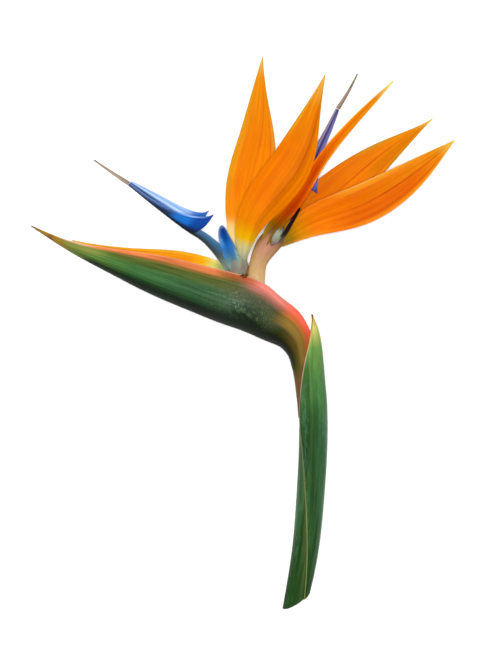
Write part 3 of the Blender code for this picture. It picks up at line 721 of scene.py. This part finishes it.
sheath = {
    "line": [(29.4, -147.0, 6.35, 6.9, 6.8, -10, 411), (34.4, -118.9, 7.6, 7.6, 7.5, 5, 443),
             (37.4, -85.9, 8.7, 8.0, 8.0, 40, 473), (38.6, -63.9, 9.7, 8.1, 8.3, 100, 495),
             (38.8, -46.0, 10.4, 8.1, 8.7, 216, 512), (38.5, -36.4, 10.6, 8.0, 8.7, 224, 507),
             (37.9, -25.4, 10.9, 7.6, 8.5, 232, 493), (37.4, -14.4, 11.1, 7.2, 8.0, 246, 474),
             (37.1, -6.2, 11.6, 6.6, 7.0, 263, 457), (36.9, 2.1, 12.4, 5.2, 5.2, 280, 440),
             (37.1, 7.6, 13.2, 3.0, 3.0, 298, 422), (37.8, 10.9, 13.8, 0.9, 0.9, 318, 402)],
    "wall": 0.9, "pitch": 1.2,
    "ground": [
        (0.03, "#1e3d18"), (0.2, "#2a4826"), (0.4, "#2e5030"), (0.6, "#305634"), (0.76, "#3c6832"),
        (0.88, "#648a3e"), (0.95, "#b8b45c"), (0.985, "#be9a48"), (1.0, "#50301c")],
    # places across are the angle round the stalk over 540 degrees
    "washes": [
        ("#284423", 0.8, (0.4, 0.47, 0.55, 0.62), (0.9, 0.8)),
        # Lighter bluish green bands on the right side of the roll, round 360 degrees, and on its left
        # side, round 180 degrees: painted sheen of the waxy bloom at the sides of the roll.
        ("#5c8060", 0.8, (0.58, 0.63, 0.66, 0.76), (0.05, 0.25, 0.65, 0.8)),
        ("#566c54", 0.8, (0.26, 0.31, 0.36, 0.45), (0.1, 0.3, 0.62, 0.75)),
        ("#1c3c10", 0.85, (0.75, 0.84), (0.76, 0.64)),
        ("#2d5018", 0.8, (0.79, 0.87), (0.64, 0.74, 0.8, 0.88)),
        ("#1c3a14", 0.8, (0.1, 0.15, 0.2, 0.28), (0.5, 0.3))]}


def rollSheath(rows=260, far=150, near=70):
    # A sheet wound on a slow spiral, r = R + pitch (angle - 360) / 360, its columns running from
    # a fixed midrib at 360 degrees to each margin; shallow ribs run its whole length.
    at = np.linspace(0.0, 1.0, rows)
    line = readAlong(sheath["line"], at)
    start, end = line[:, 5, None], line[:, 6, None]
    angle = np.hstack([start + (360 - start) * np.linspace(0, 1, far + 1)[:-1],
                       360 + (end - 360) * np.linspace(0, 1, near + 1)])
    lag = (angle - (end - 360)) / 360
    spiral = sheath["pitch"] * (angle - 360) / 360
    ribs = 0.035 * np.sin(np.radians(angle * 26)) + 0.03 * np.sin(np.radians(angle * 11 + 40))
    edge = np.minimum((angle - start), (end - angle)) / 360
    thick = np.minimum(sheath["wall"], 0.8 * line[:, 3, None])
    thick = thick * (0.35 + 0.65 * smoothStep(0, 0.02, edge))
    side = -leftOf(line)
    faces = []
    for depth in (0.0, 1.0):
        radius = spiral + (ribs - 0.05) * (1 - depth) - depth * thick
        across = (line[:, 3, None] + radius) * np.cos(np.radians(angle))
        up = (line[:, 4, None] + radius) * np.sin(np.radians(angle))
        flat = line[:, None, :2] + side[:, None] * across[..., None]
        points = slantCut(np.dstack([flat, line[:, 2, None] + up]), line)
        points[..., 2] = np.maximum(points[..., 2], 0.0)
        faces.append(points)
    leaf = leafGrid(np.linspace(0, 1, far + near + 1), at)
    layers = {"leaf": leaf, "roll": np.dstack([angle / 540, lag])}
    return sheetPiece("rolled_bract", *faces, layers, "stem_sheath", "sheath_green",
                      sheathSkin())


def sheathSkin():
    # Leathery leaf sheath, grown: waxy satin green with parallel veins about 1 mm apart and a thin
    # bluish bloom; the lighter bluish bands down its left and right sides are painted sheen. The
    # overlapping margin is dry, cream and a little pink.
    material, tree, shader = startMaterial("waxyLeafSheath", Specular_IOR_Level=0.03)
    _, place, spot = readPlaces(tree)
    roll = addNode(tree, "SeparateXYZ", {0: addNode(tree, "UVMap", uv_map="roll")[0]})
    bundle = addNode(tree, "CombineXYZ", {0: roll[0], 1: place[1]})[0]
    veins = streakNoise(tree, bundle, 64.0, 3.5, 3.0, Roughness=0.6)
    bands = streakNoise(tree, bundle, 14.0, 2.0, 2.0)
    shift = addNode(tree, "MapRange", {0: bands, 3: -0.025, 4: 0.025})[0]
    around = addNode(tree, "Math", {0: roll[0], 1: shift}, operation="ADD")[0]
    colour = paintTissue(tree, around, place[1], sheath)
    olive = addNode(tree, "ValToRGB", {0: roll[1]}, stops=[
        (0.0, "#000000"), (0.004, "#909090"), (0.03, "#707070"), (0.06, "#000000")])[0]
    colour = tint(tree, colour, "#676730", olive)
    stripe = streakNoise(tree, bundle, 36.0, 5.0, 2.0)
    colour = varyLight(tree, colour, (veins, 0.3, 0.7, 0.76, 1.2),
                       (stripe, 0.32, 0.68, 0.72, 1.28))
    fleck = streakNoise(tree, bundle, 130.0, 26.0, 3.0, Roughness=0.7)
    fleck = addNode(tree, "Math", {0: fleck, 1: bands}, operation="MULTIPLY")[0]
    fleck = addNode(tree, "MapRange", {0: fleck, 1: 0.27, 2: 0.42, 3: 0.0, 4: 0.32})[0]
    colour = tint(tree, colour, "#60886c", fleck)
    margin = addNode(tree, "MapRange", {0: roll[1], 1: 0.984, 2: 0.992})[0]
    dry = addNode(tree, "ValToRGB", {0: place[1]}, stops=[
        (0.0, "#6c7440"), (0.2, "#647044"), (0.4, "#5c6840"), (0.6, "#6c6850"), (0.8, "#a38571"),
        (0.93, "#a7924f"), (1.0, "#4c2a19")])[0]
    colour = tint(tree, colour, dry, margin)
    grain = addNode(tree, "TexNoise", {"Vector": spot, "Scale": 1800.0, "Detail": 3.0})[0]
    finishSkin(tree, shader, colour, grain, (0.34, 0.5), (0.5, 0.0003, veins),
               (0.25, 0.00008, grain))
    return material


rollSheath()
print("stalk and rolled bract grown")


# Spathe.

spathe = {
    "sections": [   # keel xy, rim xy, half thickness, half gap between the rims
        ((30.9, -46.3), (39.9, -46.3), 4.1, 0.15), ((29.8, -34.2), (38.6, -34.2), 4.1, 0.15),
        ((27.4, -18.8), (36.9, -17.7), 4.6, 0.15), ((25.4, -12.5), (37.2, -9.5), 5.6, 0.15),
        ((21.3, -7.6), (37.5, 1.0), 7.6, 0.15), ((18.6, -6.2), (33.7, 8.9), 8.6, 0.15),
        ((9.8, -2.6), (20.5, 21.0), 10.0, 0.15), ((4.3, -0.1), (14.2, 26.3), 10.5, 2.2),
        ((-1.2, 2.1), (7.0, 30.1), 10.7, 4.2), ((-12.2, 5.9), (-3.4, 33.1), 10.7, 4.3),
        ((-28.7, 12.5), (-20.5, 37.3), 10.0, 1.6), ((-50.7, 21.9), (-43.6, 42.6), 8.2, 1.3),
        ((-72.7, 33.1), (-67.8, 46.4), 5.7, 1.15), ((-94.7, 45.0), (-92.5, 50.5), 3.1, 1.0),
        ((-116.0, 58.9), (-116.8, 59.9), 1.1, 0.35)],
    "centre": 10.2, "wall": 1.2, "hook": 0.30, "rim": 0.9,
    "marks": [   # middle, full within, gone beyond (m), pattern, strength, colour
        ((-0.0034, 0.0180, 0.0205), 0.002, 0.0060, "scratch", 0.75, "#a4ac94"),
        ((-0.0140, 0.0190, 0.0205), 0.002, 0.0110, "scratch", 0.22, "#8c9880"),
        ((0.0043, 0.0076, 0.0190), 0.004, 0.0110, "blot", 0.75, "#0c1808"),
        ((-0.0020, 0.0120, 0.0200), 0.003, 0.0090, "blot", 0.6, "#102010"),
        ((-0.1057, 0.0527, 0.0115), 0.0008, 0.0026, "plain", 0.8, "#602828")],
    "ground": [
        (0.02, "#654522"), (0.1, "#5f4622"), (0.14, "#464012"), (0.22, "#4a3a14"), (0.26, "#2e300e"),
        (0.3, "#30391e"), (0.4, "#385038"), (0.5, "#2c4e2e"), (0.7, "#305a2c"), (0.8, "#4c7030"),
        (0.87, "#5c6c2c"), (0.92, "#8c6c1c"), (0.97, "#946a20"), (1.0, "#4a2a08")],
    "washes": [
        # Keel: near-black green, partly the keel's own dark green and partly painted shade where the
        # belly turns down away from the light.
        ("#061204", 0.95, (0.48, 0.2), (0.1, 0.17, 0.8, 0.87)),   # keel
        ("#8e6630", 0.8, (0.6, 0.85), (0.18, 0.12)),   # neck
        ("#86682c", 0.8, (0.46, 0.64, 0.74, 0.88), (0.12, 0.16, 0.25, 0.32)),   # bend
        ("#b8602e", 0.9, (0.68, 0.84, 0.9, 1.0), (0.15, 0.19, 0.26, 0.3)),
        ("#f8604e", 1.0, (0.78, 0.98), (0.17, 0.21, 0.27, 0.3)),
        ("#4c4c38", 0.8, (0.55, 0.74, 0.85, 0.97), (0.28, 0.33, 0.4, 0.48)),   # shoulder
        ("#d4786c", 0.95, (0.74, 0.96), (0.26, 0.3, 0.36, 0.43)),
        ("#50541c", 0.75, (0.6, 0.8, 0.88, 0.97), (0.36, 0.46, 0.74, 0.84)),   # blade
        ("#a65028", 0.9, (0.84, 0.98), (0.35, 0.39, 0.43, 0.5)),
        ("#d27040", 0.95, (0.82, 0.97), (0.43, 0.5, 0.8, 0.88)),
        ("#80803c", 0.6, (0.5, 0.65, 0.8, 0.95), (0.76, 0.83, 0.88, 0.92)),   # point
        ("#dcac90", 0.9, (0.85, 1), (0.8, 0.86, 0.9, 0.94))]}


def foldSpathe(rows=300, columns=181):
    # A folded sheet: height = centre +- (thick sin(pi a) + (gap + lip) a^2) with a from 0 at the
    # keel to 1 at the rim, and the way out from the keel a^1.3, turning into (1 - cos pi a) / 2
    # towards the round neck. Fine lengthwise ribs follow the veins.
    sections = np.array([(*keel, *rim, thick, gap)
                         for keel, rim, thick, gap in spathe["sections"]])
    middle = (sections[:, :2] + sections[:, 2:4]) / 2
    at = np.linspace(0.0, 1.0, rows)
    table = readAlong(np.hstack([middle, sections]), at, place=2)[:, 2:]
    keel, rim, thick = table[:, :2], table[:, 2:4], table[:, 4]
    gap = np.maximum(table[:, 5], 0.15)
    across = np.linspace(-1.0, 1.0, columns)
    across = np.sign(across) * (1 - (1 - np.abs(across)) ** 1.15)
    out = np.abs(across)
    neck = np.clip(1 - at / spathe["hook"], 0, 1)[:, None]
    reach = neck * (1 - np.cos(math.pi * out)) / 2 + (1 - neck) * out ** 1.3
    wall = np.minimum(spathe["wall"], 0.45 * thick)
    lip = np.minimum(spathe["rim"], 0.45 * thick)
    depth = np.linalg.norm(rim - keel, axis=1)
    ribs = 0.045 * np.sin(out * 2 * math.pi * 13) + 0.03 * np.sin(out * 2 * math.pi * 29 + 1.0)
    ribs = ribs * np.sin(math.pi * out) * smoothStep(0.3, 0.45, at)[:, None] - 0.06
    faces = []
    for inside in (0.0, 1.0):
        sunk = inside * np.minimum(1.4 * wall, 0.35 * depth) / depth
        place = sunk[:, None] + (1 - sunk[:, None]) * reach
        flat = keel[:, None] + (rim - keel)[:, None] * place[..., None]
        belly = (thick - inside * wall)[:, None] * np.sin(math.pi * out)
        belly = belly + (1 - inside) * np.minimum(1, thick / 4)[:, None] * ribs
        edge = (gap + (1 - inside) * lip)[:, None] * out ** 2
        height = spathe["centre"] + np.sign(across) * np.maximum(belly + edge, 0)
        faces.append(np.dstack([flat, np.maximum(height, 0.0)]))
    leaf = leafGrid((across + 1) / 2, at)
    return sheetPiece("boat_spathe", *faces, {"leaf": leaf}, "spathe", "spathe_green",
                      spatheSkin())


def spatheSkin():
    # Leathery boat-shaped bract, grown: waxy green with close parallel veins and a bluish bloom,
    # blushing to coral at the rims and the bend; near-black at the keel, partly its own dark green and
    # partly painted shade, with a pale line along the rim edges that is partly painted highlight; fine
    # cross wrinkles and scratches at the shoulder, where it was handled.
    material, tree, shader = startMaterial("waxySpatheSkin", Specular_IOR_Level=0.05)
    _, place, spot = readPlaces(tree)
    half = addNode(tree, "Math", {0: place[0], 1: 2.0, 2: -1.0}, operation="MULTIPLY_ADD")[0]
    out = addNode(tree, "Math", {0: half}, operation="ABSOLUTE")[0]
    fibre = addNode(tree, "CombineXYZ", {0: out, 1: place[1]})[0]
    veins = streakNoise(tree, fibre, 70.0, 5.0, 3.0, Roughness=0.65)
    bands = streakNoise(tree, fibre, 16.0, 5.0, 3.0)
    waver = addNode(tree, "MapRange", {0: bands, 3: -0.035, 4: 0.035})[0]
    fade = addNode(tree, "MapRange", {0: out, 1: 0.7, 2: 0.95, 3: 1.0, 4: 0.25})[0]
    waver = addNode(tree, "Math", {0: waver, 1: fade}, operation="MULTIPLY")[0]
    across = addNode(tree, "Math", {0: out, 1: waver}, operation="ADD")[0]
    colour = paintTissue(tree, across, place[1], spathe)
    stripe = streakNoise(tree, fibre, 30.0, 7.0, 2.0)
    stripe = addNode(tree, "MapRange", {0: stripe, 1: 0.32, 2: 0.68, 3: 0.72, 4: 1.3})[0]
    blade = addNode(tree, "MapRange", {0: place[1], 1: 0.28, 2: 0.5, 3: 0.25, 4: 1.0})[0]
    stripe = addNode(tree, "Mix", {0: blade, 2: 1.0, 3: stripe})[0]
    colour = addNode(tree, "HueSaturation", {2: stripe, 4: colour})[0]
    colour = varyLight(tree, colour, (veins, 0.3, 0.7, 0.74, 1.22))
    # Wrinkles: thin pale lines running out from the keel, kept to the handled shoulder.
    wrinkle = streakNoise(tree, fibre, 16.0, 420.0, 3.0, Distortion=0.6)
    zone = addNode(tree, "ValToRGB", {0: place[1]}, stops=[
        (0.26, "#000000"), (0.33, "#ffffff"), (0.42, "#e0e0e0"), (0.5, "#404040"),
        (0.62, "#000000")])[0]
    shore = addNode(tree, "ValToRGB", {0: out}, stops=[
        (0.2, "#000000"), (0.4, "#ffffff"), (0.8, "#ffffff"), (0.93, "#000000")])[0]
    zone = addNode(tree, "Math", {0: zone, 1: shore}, operation="MULTIPLY")[0]
    pale = addNode(tree, "MapRange", {0: wrinkle, 1: 0.52, 2: 0.68, 3: 0.0, 4: 0.32})[0]
    colour = tint(tree, colour, "#80806c", pale, zone)
    # Scratches: where one noise passes through its middle value, a thin wandering line.
    cell = addNode(tree, "TexNoise", {"Vector": spot, "Scale": 210.0, "Detail": 2.5,
                                      "Distortion": 1.2})[0]
    scratch = addNode(tree, "MapRange", {0: offMiddle(tree, cell), 1: 0.0, 2: 0.014, 3: 1.0,
                                         4: 0.0})[0]
    blot = addNode(tree, "TexNoise", {"Vector": spot, "Scale": 330.0, "Detail": 3.0})[0]
    blot = addNode(tree, "MapRange", {0: blot, 1: 0.42, 2: 0.56})[0]
    figures = {"scratch": scratch, "blot": blot, "plain": 1.0}
    for centre, near, far, pattern, strength, shade in spathe["marks"]:
        where = addNode(tree, "VectorMath", {0: spot, 1: centre}, operation="DISTANCE")["Value"]
        where = addNode(tree, "MapRange", {0: where, 1: near, 2: far, 3: strength, 4: 0.0})[0]
        colour = tint(tree, colour, shade, where, figures[pattern])
    # A pale pink line along the very edge of the rims, over the middle of the length: partly the rim's
    # own pink, partly a painted highlight on the edge.
    thin = addNode(tree, "MapRange", {0: out, 1: 0.98, 2: 0.992, 3: 0.0, 4: 0.6})[0]
    reach = addNode(tree, "ValToRGB", {0: place[1]}, stops=[
        (0.2, "#000000"), (0.35, "#ffffff"), (0.85, "#ffffff"), (0.95, "#000000")])[0]
    colour = tint(tree, colour, "#c89880", thin, reach)
    grain = addNode(tree, "TexNoise", {"Vector": spot, "Scale": 1700.0, "Detail": 3.0})[0]
    furrow = addNode(tree, "Math", {0: wrinkle, 1: zone}, operation="MULTIPLY")[0]
    finishSkin(tree, shader, colour, grain, (0.33, 0.5), (0.6, 0.0004, furrow),
               (0.5, 0.0003, veins), (0.3, 0.0001, grain))
    return material


foldSpathe()


scrap = {
    "node": "spathe", "streaks": 6.0, "reach": 2.0, "stain": 0.8, "vessel": "#2c1004",
    "line": [(-1.8, 30.4, 15.0), (-0.2, 31.4, 16.2), (1.4, 31.6, 16.4), (2.8, 33.2, 15.4)],
    "ground": [(0.0, "#74400c"), (0.5, "#6c3c0c"), (1.0, "#60441a")],
    "thread": [(2.2, 32.4, 15.4, 0.3, 0.3), (2.4, 34.6, 14.9, 0.22, 0.22),
               (3.3, 36.0, 14.6, 0.2, 0.2), (3.1, 38.4, 14.2, 0.14, 0.14)]}


def curlScrap(rows=36, columns=15):
    # A dry scrap: half width 1.1 sin(pi t)^0.7 with a ragged edge, height curled up by
    # 0.9 q^2 and crumpled by 0.25 sin(9 t + 5 q), with q from -1 to 1 across it.
    at = np.linspace(0.02, 0.98, rows)
    line = readAlong(scrap["line"], at)
    q = np.linspace(-1.0, 1.0, columns)
    ragged = 1 + 0.22 * np.sin(31 * at) + 0.15 * np.sin(57 * at + 1)
    width = 1.1 * np.sin(math.pi * at) ** 0.7 * ragged
    flat = line[:, None, :2] + leftOf(line)[:, None] * (width[:, None] * q)[..., None]
    rise = 0.9 * q ** 2 * width[:, None] + 0.25 * np.sin(9 * at[:, None] + 5 * q)
    upper = np.dstack([flat, line[:, 2, None] + rise])
    lower = upper - (0, 0, 0.18)
    leaf = leafGrid((q + 1) / 2, at)
    material = fleshTissue("driedFlowerScrap", scrap)
    sheetPiece("dried_scrap", upper, lower, {"leaf": leaf}, scrap["node"], "spathe_green",
               material)
    rings, _, places = rodRings(scrap["thread"], 40, 10, nose=(0.1, 0.1))
    rodPiece("dried_thread", rings, places, scrap["node"], material)


curlScrap()
print("spathe grown")


# Studio.

studio = {"aim": (0.00014, 0.00481, 0.011), "away": 2.4, "lens": 241.7,
          "sky": 0.2, "top": 96.0, "key": 9.0, "side": 3.0}


def paleFloor():
    # A plain matt studio sweep in a warm white.
    material, tree, shader = startMaterial("mattStudioPaper", Roughness=0.9,
                                           Specular_IOR_Level=0.1)
    spot = addNode(tree, "TexCoord")["Object"]
    cloud = addNode(tree, "TexNoise", {"Vector": spot, "Scale": 3.0, "Detail": 2.0})[0]
    tint = addNode(tree, "ValToRGB", {0: cloud}, stops=[(0.2, "#f6f6f5"), (0.8, "#f9f9f8")])[0]
    tree.links.new(tint, shader.inputs["Base Color"])
    mesh = bpy.data.meshes.new("studio_floor")
    corners = [(-3.0, -3.0, -0.0004), (3.0, -3.0, -0.0004), (3.0, 3.0, -0.0004),
               (-3.0, 3.0, -0.0004)]
    mesh.from_pydata(corners, [], [(0, 1, 2, 3)])
    mesh.materials.append(material)
    floor = bpy.data.objects.new("studio_floor", mesh)
    bpy.context.scene.collection.objects.link(floor)


def softLight(name, place, size, power):
    # A square soft box aimed at the flower.
    light = bpy.data.lights.new(name, "AREA")
    light.size = size
    light.energy = power
    lamp = bpy.data.objects.new(name, light)
    lamp.location = place
    toward = np.array(studio["aim"]) - np.array(place)
    level = math.hypot(toward[0], toward[1])
    turn = math.atan2(toward[1], toward[0]) - math.pi / 2
    lamp.rotation_euler = (math.atan2(level, -toward[2]), 0, turn)
    bpy.context.scene.collection.objects.link(lamp)


paleFloor()
softLight("top_soft_box", (0.0, 0.005, 3.0), 0.5, studio["top"])
softLight("key_soft_box", (-0.25, 1.2, 1.1), 1.0, studio["key"])
softLight("left_soft_box", (-1.3, 0.1, 0.9), 1.2, studio["side"])
softLight("right_soft_box", (1.3, 0.2, 0.9), 1.2, studio["side"])
world = bpy.data.worlds.new("paleRoom")
world.use_nodes = True
world.node_tree.nodes["Background"].inputs["Color"].default_value = linear("#ffffff")
world.node_tree.nodes["Background"].inputs["Strength"].default_value = studio["sky"]
bpy.context.scene.world = world
bpy.context.scene.view_settings.view_transform = "Standard"
camera = bpy.data.cameras.new("copy_stand_camera")
camera.lens = studio["lens"]
camera.sensor_width = 36.0
camera.clip_end = 20.0
stand = bpy.data.objects.new("copy_stand_camera", camera)
aim = studio["aim"]
stand.location = (aim[0], aim[1], aim[2] + studio["away"])
bpy.context.scene.collection.objects.link(stand)
bpy.context.scene.camera = stand
print("studio lit")
